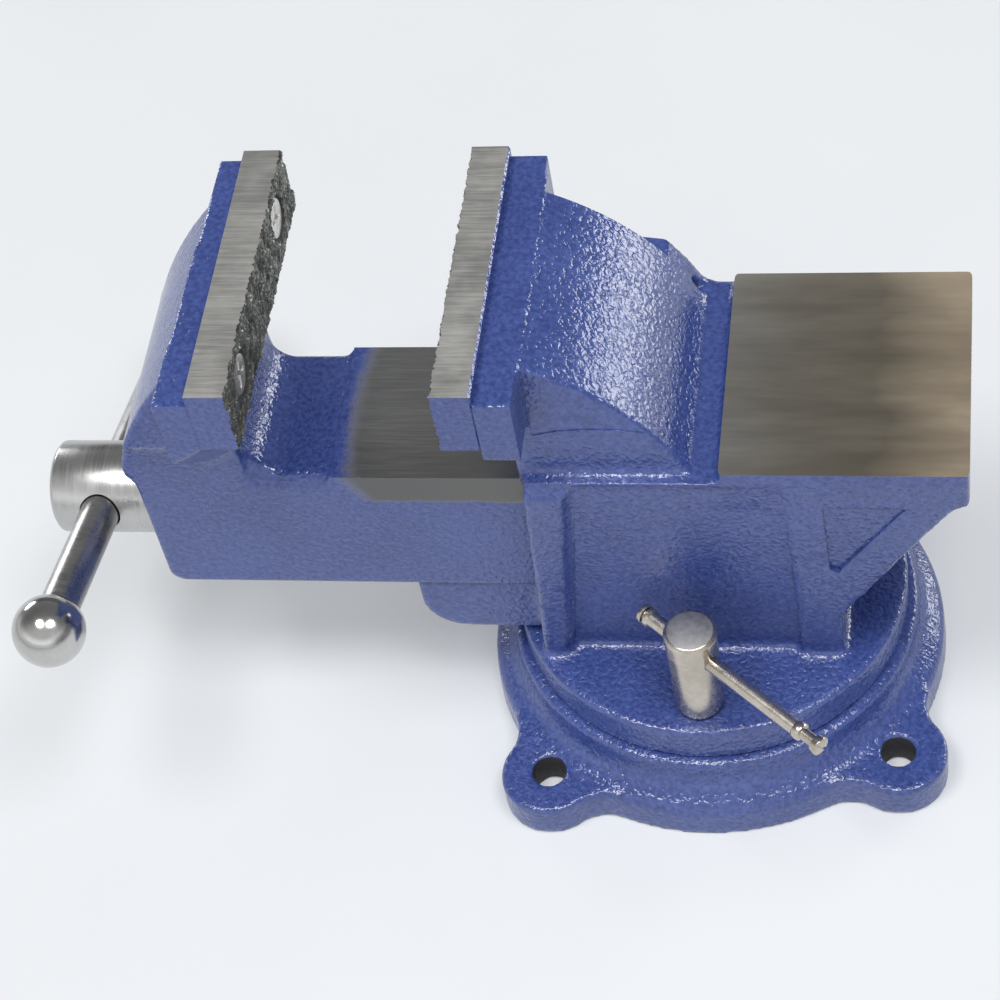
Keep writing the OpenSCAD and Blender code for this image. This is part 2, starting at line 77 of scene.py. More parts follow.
AXIS_Z = JOINTS["screw_turn"]["pos_m"][2] / MM
BAR_DIRECTION = Vector(JOINTS["handle_slide"]["axis"]).normalized()
LOCK_DIRECTION = Vector(JOINTS["near_lock_bar_slide"]["axis"]).normalized()
LOCK_Y = -JOINTS["near_lock_turn"]["pos_m"][1] / MM
HOLE_CIRCLE = MOUNTS["bench_bolts"]["dims"]["pcd_mm"] / 2
HOLE_R = MOUNTS["bench_bolts"]["dims"]["hole_r_mm"]
ANVIL_TOP = MOUNTS["anvil_face"]["pos_m"][2] / MM

# Sizes that the CAD has and the frame doesn't give
ANVIL_START = 12.4
ANVIL_HALF = 40
JAW_HALF = 50
SLIDE_HALF = 26.7
SLIDE_GAP = 0.3
SLIDE_TOP = 122.7
SLIDE_LOW = movable_low.z
MACHINED_START = movable_plate_high.x + 14.4
THROAT_FLOOR = SLIDE_TOP - 1
BASE_TURN = 5.5


# ---------------------------------------------------------------- mesh helpers

def object_from(name, data):
    obj = bpy.data.objects.new(name, data)
    bpy.context.scene.collection.objects.link(obj)
    return obj


def mesh_from(name, points, faces):
    mesh = bpy.data.meshes.new(name)
    mesh.from_pydata([tuple(p) for p in points], [], faces)
    mesh.validate()
    mesh.update()
    return mesh


def box_mesh(low, high):
    """Box between two corners, in millimetres."""
    corners = [(x, y, z) for x in (low[0], high[0]) for y in (low[1], high[1]) for z in (low[2], high[2])]
    faces = [(0, 1, 3, 2), (4, 6, 7, 5), (0, 4, 5, 1), (2, 3, 7, 6), (0, 2, 6, 4), (1, 5, 7, 3)]
    return mesh_from("box", np.array(corners) * MM, faces)


def lathe_mesh(name, outline, direction, start, sides):
    """Closed turned shape from (radius, distance) points whose ends lie on the axis, in millimetres."""
    turn = Vector((0, 0, 1)).rotation_difference(Vector(direction)).to_matrix()
    rings = outline[1:-1]
    angles = np.linspace(0, 2 * math.pi, sides, endpoint=False)
    points = [Vector((0, 0, outline[0][1]))]
    for radius, along in rings:
        points += [Vector((radius * math.cos(a), radius * math.sin(a), along)) for a in angles]
    points.append(Vector((0, 0, outline[-1][1])))
    faces = [(0, 1 + (k + 1) % sides, 1 + k) for k in range(sides)]
    for ring in range(len(rings) - 1):
        a, b = 1 + ring * sides, 1 + (ring + 1) * sides
        faces += [(a + k, a + (k + 1) % sides, b + (k + 1) % sides, b + k) for k in range(sides)]
    last, top = 1 + (len(rings) - 1) * sides, len(points) - 1
    faces += [(last + k, last + (k + 1) % sides, top) for k in range(sides)]
    placed = [(turn @ p + Vector(start)) * MM for p in points]
    return mesh_from(name, placed, faces)


def welded(mesh, name):
    """Copy of a CAD node's mesh with its split corners joined and its materials left out."""
    work = bmesh.new()
    work.from_mesh(mesh)
    bmesh.ops.remove_doubles(work, verts=work.verts, dist=1e-6)
    out = bpy.data.meshes.new(name)
    work.to_mesh(out)
    work.free()
    out.materials.clear()
    return out


def apply_modifiers(obj):
    """Makes what the object's modifiers do real."""
    evaluated = obj.evaluated_get(bpy.context.evaluated_depsgraph_get())
    mesh = bpy.data.meshes.new_from_object(evaluated)
    obj.modifiers.clear()
    old = obj.data
    obj.data = mesh
    bpy.data.meshes.remove(old)


def cut(obj, mesh, operation="DIFFERENCE", solver="MANIFOLD"):
    """Boolean with a closed mesh, which is used up."""
    cutter = object_from("cutter", mesh)
    step = obj.modifiers.new("cut", "BOOLEAN")
    step.operation = operation
    step.solver = solver
    step.object = cutter
    bpy.context.view_layer.update()
    apply_modifiers(obj)
    bpy.data.objects.remove(cutter)
    bpy.data.meshes.remove(mesh)


def soften(mesh, fillet_passes, round_passes):
    """Fills the hollow corners first, as poured iron does, then rounds every edge a little."""
    count = len(mesh.vertices)
    spots = np.empty(count * 3)
    mesh.vertices.foreach_get("co", spots)
    spots = spots.reshape(-1, 3)
    ends = np.empty(len(mesh.edges) * 2, np.int64)
    mesh.edges.foreach_get("vertices", ends)
    a, b = ends.reshape(-1, 2).T
    degree = np.maximum(np.bincount(a, minlength=count) + np.bincount(b, minlength=count), 1)

    def pull():
        out = np.empty_like(spots)
        for k in range(3):
            total = np.bincount(a, spots[b, k], count) + np.bincount(b, spots[a, k], count)
            out[:, k] = total / degree
        return out - spots

    for turn in range(fillet_passes):
        if turn % 6 == 0:
            mesh.vertices.foreach_set("co", spots.ravel())
            mesh.update()
            normals = np.empty(count * 3)
            mesh.vertices.foreach_get("normal", normals)
            normals = normals.reshape(-1, 3)
        move = pull()
        hollow = (move * normals).sum(1) > 0
        spots = spots + move * np.where(hollow, 0.55, 0.0)[:, None]
    for _ in range(round_passes):
        spots = spots + 0.5 * pull()
    mesh.vertices.foreach_set("co", spots.ravel())
    mesh.update()


def smooth_by_angle(obj, degrees):
    mesh = obj.data
    mesh.polygons.foreach_set("use_smooth", [True] * len(mesh.polygons))
    mesh.set_sharp_from_angle(angle=math.radians(degrees))
    mesh.update()


VOXEL = 1.0
ROUND_PASSES = 3


def casting(name, node, body, finish, extra, cutters, fillet_passes):
    """Cast piece that stands for a CAD node: rounded where it is rough, crisp where a cutter machines it."""
    obj = object_from(name, welded(NODES[node].data, name))
    for mesh in extra:
        cut(obj, mesh, "UNION", "EXACT")
    step = obj.modifiers.new("skin", "REMESH")
    step.mode = "VOXEL"
    step.voxel_size = VOXEL * MM * 1
    apply_modifiers(obj)
    soften(obj.data, fillet_passes, ROUND_PASSES)
    for cutter in cutters:
        cut(obj, cutter)
    smooth_by_angle(obj, 40)
    obj.data.materials.clear()
    obj.data.materials.append(finish)
    obj.data.polygons.foreach_set("material_index", [0] * len(obj.data.polygons))
    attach(obj, body)
    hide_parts(node)


# ---------------------------------------------------------------- material helpers

def material(name):
    made = bpy.data.materials.new(name)
    made.use_nodes = True
    tree = made.node_tree
    tree.nodes.clear()
    out = tree.nodes.new("ShaderNodeOutputMaterial")
    shader = tree.nodes.new("ShaderNodeBsdfPrincipled")
    tree.links.new(shader.outputs[0], out.inputs[0])
    return made, tree, shader


def put(tree, kind, inputs=None, **settings):
    """Adds a node; an input may be a number, a colour or another node's socket."""
    node = tree.nodes.new("ShaderNode" + kind)
    for key, value in settings.items():
        setattr(node, key, value)
    for key, value in (inputs or {}).items():
        if isinstance(value, bpy.types.NodeSocket):
            tree.links.new(value, node.inputs[key])
        else:
            node.inputs[key].default_value = value
    return node


def place(tree):
    return put(tree, "TexCoord").outputs["Object"]


def stretched(tree, vector, scale, turn=(0, 0, 0)):
    return put(tree, "Mapping", {"Vector": vector, "Scale": scale, "Rotation": turn}).outputs[0]


def noise(tree, vector, scale, detail=2.0, roughness=0.5, distortion=0.0):
    return put(tree, "TexNoise", {
        "Vector": vector, "Scale": scale, "Detail": detail, "Roughness": roughness, "Distortion": distortion,
    }).outputs["Fac"]


def math_node(tree, operation, a, b=0.0, c=0.0):
    return put(tree, "Math", {0: a, 1: b, 2: c}, operation=operation).outputs[0]


def product(tree, first, *others):
    for other in others:
        first = math_node(tree, "MULTIPLY", first, other)
    return first


def parts_of(tree, vector):
    return put(tree, "SeparateXYZ", {0: vector}).outputs


def ranged(tree, value, low, high, to_low=0.0, to_high=1.0, smooth=True):
    return put(
        tree, "MapRange",
        {"Value": value, "From Min": low, "From Max": high, "To Min": to_low, "To Max": to_high},
        interpolation_type="SMOOTHSTEP" if smooth else "LINEAR",
    ).outputs[0]


def blended(tree, factor, a, b):
    """Colour between a and b."""
    return put(tree, "Mix", {0: factor, 6: a, 7: b}, data_type="RGBA").outputs[2]


def blended_number(tree, factor, a, b):
    """Number between a and b."""
    return put(tree, "Mix", {0: factor, 2: a, 3: b}, data_type="FLOAT").outputs[0]


def scaled(tree, colour, factor):
    return put(tree, "VectorMath", {0: colour, "Scale": factor}, operation="SCALE").outputs[0]


def colour_ramp(tree, factor, stops):
    """Colour that runs through the (position, colour) stops as the factor goes from 0 to 1."""
    ramp = put(tree, "ValToRGB", {0: factor})
    while len(ramp.color_ramp.elements) < len(stops):
        ramp.color_ramp.elements.new(0.5)
    for element, (position, colour) in zip(ramp.color_ramp.elements, stops):
        element.position = position
        element.color = (*colour, 1)
    return ramp.outputs[0]


def surface(tree, shader, colour, rough, height, strength, distance):
    """Gives a shader its colour, its roughness and a bump that follows the height."""
    tree.links.new(colour, shader.inputs["Base Color"])
    tree.links.new(rough, shader.inputs["Roughness"])
    bump = put(tree, "Bump", {"Height": height, "Strength": strength, "Distance": distance})
    tree.links.new(bump.outputs[0], shader.inputs["Normal"])


# ---------------------------------------------------------------- enamel and machined iron

BLUE_LOW = (0.026, 0.046, 0.180, 1)
BLUE_HIGH = (0.060, 0.094, 0.300, 1)
# bare iron inside the bolt holes, darkened to near black as painted shade
SHADED_BARE_HOLE = (0.020, 0.020, 0.024, 1)
ENAMEL_IOR = 1.65
DIMPLE_HEIGHT = 0.00042
PLANE_SKIN = 0.06  # a point is on a machined plane when it is this near to it


def enamel_parts(tree):
    """Colour, roughness and height of hammered enamel."""
    spot = place(tree)
    dimple = noise(tree, spot, 640, 1.2, 0.45, 0.5)
    patch = noise(tree, spot, 28, 2.0)
    mottle = math_node(tree, "MULTIPLY_ADD", patch, 0.35, math_node(tree, "MULTIPLY", dimple, 0.75))
    colour = blended(tree, ranged(tree, mottle, 0.30, 0.80), BLUE_LOW, BLUE_HIGH)
    rough = ranged(tree, patch, 0.3, 0.7, 0.14, 0.21)
    return colour, rough, dimple


def enamelled(tree, shader, colour, rough, height):
    surface(tree, shader, colour, rough, height, 1.0, DIMPLE_HEIGHT)
    shader.inputs["IOR"].default_value = ENAMEL_IOR


def enamel():
    made, tree, shader = material("hammered_blue_enamel")
    enamelled(tree, shader, *enamel_parts(tree))
    return made


def base_enamel():
    """Hammered enamel that stops at the four bench bolt holes, which are bare iron inside, coloured near black as
    painted shade.
    """
    made, tree, shader = material("enamel_with_shaded_bare_bolt_holes")
    colour, rough, dimple = enamel_parts(tree)
    turned = stretched(tree, place(tree), (1, 1, 1), (0, 0, -math.radians(45 + BASE_TURN)))
    x, y, _ = parts_of(tree, turned)
    x, y = math_node(tree, "ABSOLUTE", x), math_node(tree, "ABSOLUTE", y)
    along = math_node(tree, "SUBTRACT", math_node(tree, "MAXIMUM", x, y), HOLE_CIRCLE * MM)
    aside = math_node(tree, "MINIMUM", x, y)
    along_squared = math_node(tree, "POWER", math_node(tree, "ABSOLUTE", along), 2.0)
    aside_squared = math_node(tree, "POWER", aside, 2.0)
    away = math_node(tree, "SQRT", math_node(tree, "ADD", along_squared, aside_squared))
    # the bare iron inside each hole gets a near-black colour, a painted shade
    inside = ranged(tree, away, (HOLE_R + 0.25) * MM, (HOLE_R + 0.05) * MM)
    colour = blended(tree, inside, colour, SHADED_BARE_HOLE)
    rough = blended_number(tree, inside, rough, 0.7)
    enamelled(tree, shader, colour, rough, dimple)
    return made


def iron_parts(tree, grind, stain_scale, stops):
    """Colour, roughness and height of a ground iron face.

    The grind draws its streaks. Each stop is a place along X in millimetres and the colour there.
    """
    spot = place(tree)
    streak = noise(tree, stretched(tree, spot, grind), 1.0, 4.0, 0.6)
    stain = noise(tree, stretched(tree, spot, stain_scale), 1.0, 3.0, 0.5)
    x, _, _ = parts_of(tree, spot)
    drifted = math_node(tree, "MULTIPLY_ADD", stain, 0.06, math_node(tree, "SUBTRACT", x, 0.03))
    first, last = stops[0][0], stops[-1][0]
    along = ranged(tree, drifted, first * MM, last * MM, smooth=False)
    colour = colour_ramp(tree, along, [((at - first) / (last - first), tone) for at, tone in stops])
    shade = ranged(tree, streak, 0.3, 0.7, 0.965, 1.025)
    rough = ranged(tree, streak, 0.2, 0.8, 0.33, 0.45)
    return scaled(tree, colour, shade), rough, streak


def part_machined(name, mask_of, grind, stain_scale, stops):
    """Hammered enamel with machined iron where the mask is 1."""
    made, tree, shader = material(name)
    colour, rough, dimple = enamel_parts(tree)
    iron, iron_rough, streak = iron_parts(tree, grind, stain_scale, stops)
    mask, shade = mask_of(tree)
    enamelled(
        tree, shader,
        blended(tree, mask, colour, scaled(tree, iron, shade)),
        blended_number(tree, mask, rough, iron_rough),
        blended_number(tree, mask, dimple, math_node(tree, "MULTIPLY", streak, 0.03)),
    )
    tree.links.new(mask, shader.inputs["Metallic"])
    return made


def anvil_mask(tree):
    """Ground top of the anvil, and how bright it is: a painted highlight that makes it brighter towards the far
    side.
    """
    x, y, z = parts_of(tree, place(tree))
    above = math_node(tree, "GREATER_THAN", z, (ANVIL_TOP - PLANE_SKIN) * MM)
    below = math_node(tree, "LESS_THAN", z, (ANVIL_TOP + PLANE_SKIN) * MM)
    behind = math_node(tree, "GREATER_THAN", x, (ANVIL_START - 2) * MM)
    # painted highlight: the anvil top is coloured brighter towards its far side
    shade = ranged(tree, y, 0.0, 0.045, 1.0, 1.25)
    return product(tree, above, behind, below), shade


def slide_mask(tree):
    """Machined top and side bands of the slide, and how bright they are.

    Paint fades out over the front end of both, along a curved line on top and a slanted one on the side.
    """
    spot = place(tree)
    x, y, z = parts_of(tree, spot)
    across = math_node(tree, "ABSOLUTE", y)
    drift = math_node(tree, "MULTIPLY_ADD", noise(tree, spot, 160, 3.0), 0.004, -0.002)
    under = math_node(tree, "LESS_THAN", z, (SLIDE_TOP + PLANE_SKIN) * MM)
    behind = math_node(tree, "GREATER_THAN", x, (MACHINED_START - 0.4) * MM)

    on_top = math_node(tree, "GREATER_THAN", z, (SLIDE_TOP - PLANE_SKIN) * MM)
    edge_share = math_node(tree, "DIVIDE", across, SLIDE_HALF * MM)
    edge_curve = math_node(tree, "MULTIPLY", math_node(tree, "POWER", edge_share, 3), 0.002)
    front = math_node(tree, "SUBTRACT", math_node(tree, "ADD", x, drift), edge_curve)
    top_fade = ranged(tree, front, (MACHINED_START + 0.8) * MM, (MACHINED_START + 8) * MM)
    top = product(tree, on_top, top_fade)

    side = math_node(tree, "GREATER_THAN", across, (SLIDE_HALF - PLANE_SKIN) * MM)
    low = math_node(tree, "ADD", z, math_node(tree, "MULTIPLY", drift, 0.6))
    band = ranged(tree, low, (SLIDE_TOP - 12.6) * MM, (SLIDE_TOP - 10.8) * MM)
    lean = 0.6
    slant = math_node(tree, "MULTIPLY_ADD", z, lean, x)
    slant_start = MACHINED_START + lean * SLIDE_TOP
    side_fade = ranged(tree, slant, (slant_start - 1) * MM, (slant_start + 8) * MM)
    flank = product(tree, side, band, side_fade)

    # the slide top is coloured darker towards its near edge
    near_edge_darkening = ranged(tree, y, -0.004, -0.022, 0.0, 0.2)
    shade = math_node(tree, "SUBTRACT", math_node(tree, "MULTIPLY_ADD", flank, -0.36, 1.0), near_edge_darkening)
    return product(tree, math_node(tree, "MAXIMUM", top, flank), product(tree, under, behind)), shade


ENAMEL = enamel()
# The anvil's colour stops are partly the iron's own brownish tone and partly a painted reflection: a dark middle
# and a bright right end.
BODY_FINISH = part_machined("enamel_and_ground_anvil", anvil_mask, (16, 110, 16), (14, 30, 14), [
    (8, (0.48, 0.46, 0.42)), (32, (0.37, 0.34, 0.29)), (58, (0.34, 0.30, 0.24)), (80, (0.78, 0.64, 0.47)),
])
JAW_FINISH = part_machined("enamel_and_machined_slide", slide_mask, (60, 1400, 60), (20, 60, 20), [
    (-110, (0.34, 0.34, 0.34)), (-60, (0.38, 0.375, 0.36)), (40, (0.40, 0.39, 0.37)),
])
BASE_FINISH = base_enamel()


# ---------------------------------------------------------------- bare metals

def metal(name, light, dark, rough, stretch, streak_shade, bump):
    """Metal with patches between two colours and streaks along the direction that the stretch leaves long."""
    made, tree, shader = material(name)
    spot = place(tree)
    streak = noise(tree, stretched(tree, spot, stretch), 1.0, 4.0, 0.62)
    patch = noise(tree, spot, 60, 3.0, 0.55)
    colour = blended(tree, ranged(tree, patch, 0.3, 0.7), (*dark, 1), (*light, 1))
    shade = ranged(tree, streak, 0.25, 0.75, *streak_shade)
    worn = math_node(tree, "MULTIPLY_ADD", patch, 0.5, math_node(tree, "MULTIPLY", streak, 0.5))
    worn_rough = ranged(tree, worn, 0.3, 0.7, *rough)
    surface(tree, shader, scaled(tree, colour, shade), worn_rough, streak, bump, 0.0001)
    shader.inputs["Metallic"].default_value = 1.0
    shader.inputs["IOR"].default_value = 1.5
    return made


GROUND = metal(
    "ground_plate_steel", (0.67, 0.66, 0.63), (0.58, 0.57, 0.545),
    rough=(0.40, 0.55), stretch=(60, 1300, 60), streak_shade=(0.90, 1.06), bump=0.14,
)
TURNED = metal(
    "turned_steel", (0.56, 0.555, 0.545), (0.49, 0.485, 0.475),
    rough=(0.22, 0.34), stretch=(900, 60, 60), streak_shade=(0.94, 1.03), bump=0.05,
)
BAR_STEEL = metal(
    "drawn_bar_steel", (0.52, 0.515, 0.505), (0.42, 0.415, 0.41),
    rough=(0.24, 0.38), stretch=(90, 900, 900), streak_shade=(0.85, 1.08), bump=0.08,
)
POLISHED = metal(
    "polished_steel", (0.58, 0.575, 0.56), (0.50, 0.495, 0.48),
    rough=(0.13, 0.20), stretch=(500, 500, 500), streak_shade=(0.95, 1.03), bump=0.03,
)
ZINC = metal(
    "satin_zinc", (0.63, 0.58, 0.51), (0.50, 0.45, 0.385),
    rough=(0.20, 0.32), stretch=(400, 400, 400), streak_shade=(0.90, 1.05), bump=0.08,
)
ZINC_TOP = metal(
    "matte_zinc_end", (0.41, 0.405, 0.405), (0.34, 0.33, 0.33),
    rough=(0.50, 0.66), stretch=(500, 500, 500), streak_shade=(0.85, 1.08), bump=0.35,
)
BLACK = metal(
    "blackened_steel", (0.10, 0.10, 0.10), (0.055, 0.055, 0.055),
    rough=(0.38, 0.55), stretch=(500, 500, 500), streak_shade=(0.8, 1.2), bump=0.25,
)
RAW_IRON = metal(
    "raw_cast_iron", (0.26, 0.25, 0.24), (0.16, 0.155, 0.15),
    rough=(0.5, 0.7), stretch=(700, 700, 700), streak_shade=(0.75, 1.2), bump=0.5,
)
SCREW_STEEL = metal(
    "screw_head_steel", (0.74, 0.73, 0.70), (0.58, 0.57, 0.54),
    rough=(0.38, 0.52), stretch=(600, 600, 600), streak_shade=(0.85, 1.05), bump=0.1,
)


def serrated_finish():
    """Oxide-black grooves with bright worn tips, by the depth of the surface."""
    made, tree, shader = material("serrated_plate_face")
    oxide, tip = (0.072, 0.075, 0.068, 1), (0.33, 0.335, 0.31, 1)
    height = put(tree, "Attribute", attribute_name="tooth_height", attribute_type="GEOMETRY").outputs["Fac"]
    grit = noise(tree, place(tree), 900, 3.0, 0.6)
    worn = math_node(tree, "MULTIPLY_ADD", grit, 0.7, math_node(tree, "SUBTRACT", height, 0.35))
    bright = ranged(tree, worn, 0.25, 1.0)
    rough = ranged(tree, bright, 0.0, 1.0, 0.62, 0.36)
    surface(tree, shader, blended(tree, bright, oxide, tip), rough, grit, 0.5, 0.0003)
    shader.inputs["Metallic"].default_value = 0.8
    return made


SERRATED = serrated_finish()


# ---------------------------------------------------------------- castings

REACH = 60  # a cutter that runs right across the vise ends this far from its middle
PAST = 9  # how far a cutter runs past the metal that it takes away
OVER_SLIDE = SLIDE_TOP + 20  # top of the cutters that clear the slide


def cylinder_mesh(centre, direction, radius, length, sides=64):
    """Plain round cutter centred on a point."""
    half = length / 2
    outline = [(0, -half), (radius, -half), (radius, half), (0, half)]
    return lathe_mesh("cutter", outline, direction, centre, sides)


def side_cutter(side, outline, floor, shifts):
    """Prism that sinks a panel into the body's side.

    The outline's points are (x, z). The floor gives the half width left standing at a height, and the
    shifts move the panel's corners along X there, so that its ends slope.
    """
    inner = [(x + shift, side * floor(z), z) for (x, z), shift in zip(outline, shifts)]
    outer = [(x - shift * 2, side * REACH, z) for (x, z), shift in zip(outline, shifts)]
    count = len(outline)
    faces = [tuple(range(count)), tuple(reversed(range(count, 2 * count)))]
    faces += [(k, count + k, count + (k + 1) % count, (k + 1) % count) for k in range(count)]
    if side < 0:
        faces = [tuple(reversed(f)) for f in faces]
    return mesh_from("cutter", np.array(inner + outer) * MM, faces)


def wall_floor(z):
    """The pillar's side leans out as it rises."""
    foot_z, foot_half = 40.8, 29.7
    rise, spread = 96.2, 9.8
    return foot_half + (z - foot_z) * spread / rise


def brace_floor(z):
    return wall_floor(z) - 0.2


def ledge_floor(z):
    """The neck under the fixed jaw is upright."""
    return 35.2


BRACE_PANEL = [(41.6, 124.4), (42.3, 90.5), (45.3, 88.8), (67.3, 124.4)]
WALL_PANEL = [(-42.9, 44), (31.8, 44), (30.4, 134.6), (-31.8, 134.6)]
LEDGE_PANEL = [
    (-41.4, 153.8), (-34, 155.7), (-25, 156.5), (-16, 156.3), (-9, 155.2),
    (0, 152.5), (8, 148), (12, 145), (12, 200), (-41.4, 200),
]
SIDE_PANELS = [
    (BRACE_PANEL, brace_floor, (0.3, 0.3, 0, -0.7)),
    (WALL_PANEL, wall_floor, (1.0, 0, 0, 1.0)),
    (LEDGE_PANEL, ledge_floor, [0] * len(LEDGE_PANEL)),
]

# The land is the fixed jaw's flat seat behind its plate. The tunnel lets the slide through.
land_x = fixed_plate_high.x
land_low = movable_plate_low.z - 4
tunnel_half = SLIDE_HALF + SLIDE_GAP
casting(
    "cast_fixed_body", "fixed_body", "vise_body", BODY_FINISH,
    [
        box_mesh((ANVIL_START, -ANVIL_HALF, ANVIL_TOP - 6), (body_high.x, ANVIL_HALF, ANVIL_TOP + 3)),
        box_mesh((land_x - 3, -JAW_HALF, land_low), (land_x + 4, JAW_HALF, body_high.z)),
    ],
    [
        box_mesh((ANVIL_START - 4, -REACH, ANVIL_TOP), (body_high.x + PAST, REACH, ANVIL_TOP + PAST)),
        box_mesh((land_x - 8, -tunnel_half, SLIDE_LOW - SLIDE_GAP),
                 (body_high.x + PAST, tunnel_half, SLIDE_TOP + SLIDE_GAP)),
        box_mesh((land_x - PAST, -REACH, land_low - PAST), (land_x, REACH, body_high.z + PAST)),
        *(side_cutter(side, *panel) for side in (-1, 1) for panel in SIDE_PANELS),
    ],
    10,
)

# The movable jaw's seat is flat too, and so are the top of the slide and the bands along its sides.
slide_end = movable_high.x
seat_x = movable_plate_low.x
seat_low = movable_plate_low.z
band_low = SLIDE_LOW + 12
casting(
    "cast_movable_jaw", "movable_jaw", "sliding_jaw", JAW_FINISH,
    [
        box_mesh((MACHINED_START + 0.5, -SLIDE_HALF - 2, SLIDE_TOP - 18),
                 (slide_end + 2, SLIDE_HALF + 2, SLIDE_TOP + 1.4)),
        box_mesh((seat_x - 4, -JAW_HALF, seat_low), (seat_x + 3, JAW_HALF, movable_high.z)),
    ],
    [
        box_mesh((seat_x, -REACH, seat_low - 0.5), (seat_x + PAST, REACH, movable_high.z + PAST)),
        box_mesh((MACHINED_START - 0.3, -REACH, SLIDE_TOP), (slide_end + PAST, REACH, OVER_SLIDE)),
        box_mesh((MACHINED_START - 6, -REACH, THROAT_FLOOR), (MACHINED_START - 0.3, REACH, SLIDE_TOP + 3)),
        box_mesh((MACHINED_START - PAST, SLIDE_HALF, band_low), (slide_end + PAST, REACH, OVER_SLIDE)),
        box_mesh((MACHINED_START - PAST, -REACH, band_low), (slide_end + PAST, -SLIDE_HALF, OVER_SLIDE)),
        box_mesh((slide_end, -REACH, SLIDE_LOW - PAST), (slide_end + PAST, REACH, OVER_SLIDE)),
        cylinder_mesh((movable_low.x + 10, 0, AXIS_Z), (1, 0, 0), 10.1, 24),
    ],
    12,
)

base_holes = []
for quarter in range(4):
    turn = math.radians(45 + 90 * quarter + BASE_TURN)
    spot = (HOLE_CIRCLE * math.cos(turn), HOLE_CIRCLE * math.sin(turn), base_high.z / 2)
    base_holes.append(cylinder_mesh(spot, (0, 0, 1), HOLE_R, 2 * base_high.z, 48))
casting("cast_swivel_base", "swivel_base", "base", BASE_FINISH, [], base_holes, 10)


# ---------------------------------------------------------------- jaw plates

TOOTH_DEPTH = 1.4
TOOTH_PITCH = 4.4
WAVE_LENGTH = 10.5
GRID = (232, 56)  # points of the toothed face along the jaw and up
TEETH_SLOT, GROUND_SLOT, PAINT_SLOT = 0, 1, 2


def blurred(field, steps, passes):
    """The field averaged with its neighbours the given steps away."""
    for _ in range(passes):
        field = sum((np.roll(field, step, (0, 1)) for step in steps), field) / (len(steps) + 1)
    return (field - field.mean()) / field.std()


def tooth_field(across, up, rng):
    """Height of the working face, 1 at a tip and 0 in a groove.

    It adds up cut diamonds, broad waves, a torn surface and a fine grain.
    """
    lean = 0.8
    torn = blurred(rng.normal(0, 1, across.shape), [(1, 1), (-1, -1)], 5)
    torn = blurred(torn, [(0, 1), (1, 0)], 1)
    grain = blurred(rng.normal(0, 1, across.shape), [(1, 0), (-1, 0), (0, 1), (0, -1)], 1)
    wander = blurred(rng.normal(0, 1, across.shape), [(3, 0), (-3, 0), (0, 3), (0, -3)], 12)
    first = np.abs(((across + lean * up + 1.3 * wander) / TOOTH_PITCH) % 1 - 0.5) * 2
    second = np.abs(((across - lean * up + 1.3 * wander) / TOOTH_PITCH) % 1 - 0.5) * 2
    wave = np.sin(2 * math.pi * (across + 0.35 * up) / WAVE_LENGTH + 0.8 * wander)
    return np.clip(0.42 + 0.30 * np.minimum(first, second) + 0.10 * wave + 0.14 * torn + 0.06 * grain, 0, 1)


def plate_mesh(name, low, high, way, seed, broken):
    """Closed plate whose working face looks along +X where way is 1, with its back edges broken."""
    face = high.x if way > 0 else low.x
    seat = low.x if way > 0 else high.x
    columns, rows = GRID
    ys, zs = np.linspace(low.y, high.y, columns), np.linspace(low.z, high.z, rows)
    across, up = np.meshgrid(ys, zs, indexing="ij")
    teeth = tooth_field(across, up, np.random.default_rng(seed))
    front = np.stack([face - way * TOOTH_DEPTH * (1 - teeth), across, up], -1).reshape(-1, 3)
    index = np.arange(columns * rows).reshape(columns, rows)
    faces = [
        (index[i, j], index[i + 1, j], index[i + 1, j + 1], index[i, j + 1])
        for i in range(columns - 1) for j in range(rows - 1)
    ]
    slots = [TEETH_SLOT] * len(faces)

    # The rim runs along the bottom, up one end, back along the top and down the other end.
    rim = list(index[:, 0]) + list(index[-1, 1:]) + list(index[-2::-1, -1]) + list(index[0, -2:0:-1])
    end_slots = [PAINT_SLOT] * (rows - 1)
    rim_slots = [PAINT_SLOT] * (columns - 1) + end_slots + [GROUND_SLOT] * (columns - 1) + end_slots
    middle_y, middle_z = (low.y + high.y) / 2, (low.z + high.z) / 2
    shrink_y, shrink_z = 1 - 2 * broken / (high.y - low.y), 1 - 2 * broken / (high.z - low.z)
    full = [(seat + way * broken, front[k][1], front[k][2]) for k in rim]
    shy = [
        (seat, middle_y + (y - middle_y) * shrink_y, middle_z + (z - middle_z) * shrink_z)
        for _, y, z in full
    ]
    count = len(rim)
    outer, inner = len(front), len(front) + count
    for k in range(count):
        n = (k + 1) % count
        faces += [(rim[n], rim[k], outer + k, outer + n), (outer + n, outer + k, inner + k, inner + n)]
        slots += [rim_slots[k], PAINT_SLOT]
    faces.append(tuple(inner + k for k in reversed(range(count))))
    slots.append(PAINT_SLOT)
    if way < 0:
        faces = [tuple(reversed(f)) for f in faces]

    mesh = mesh_from(name, np.concatenate([front, full, shy]) * MM, faces)
    heights = np.concatenate([teeth.ravel(), np.ones(2 * count)]).astype(np.float32)
    mesh.attributes.new("tooth_height", "FLOAT", "POINT").data.foreach_set("value", heights)
    for finish in (SERRATED, GROUND, ENAMEL):
        mesh.materials.append(finish)
    mesh.polygons.foreach_set("material_index", slots)
    return mesh


def countersink(face, way, y, z):
    """Cutter for a screw's head, its cone and its hole, sunk into the working face."""
    head_r, head_depth = 7.45, 0.35
    hole_r, cone_depth = 4.3, 4.1
    above, below = -4, 14
    outline = [
        (0, above), (head_r, above), (head_r, head_depth),
        (hole_r, cone_depth), (hole_r, below), (0, below),
    ]
    return lathe_mesh("cutter", outline, (-way, 0, 0), (face, y, z), 64)


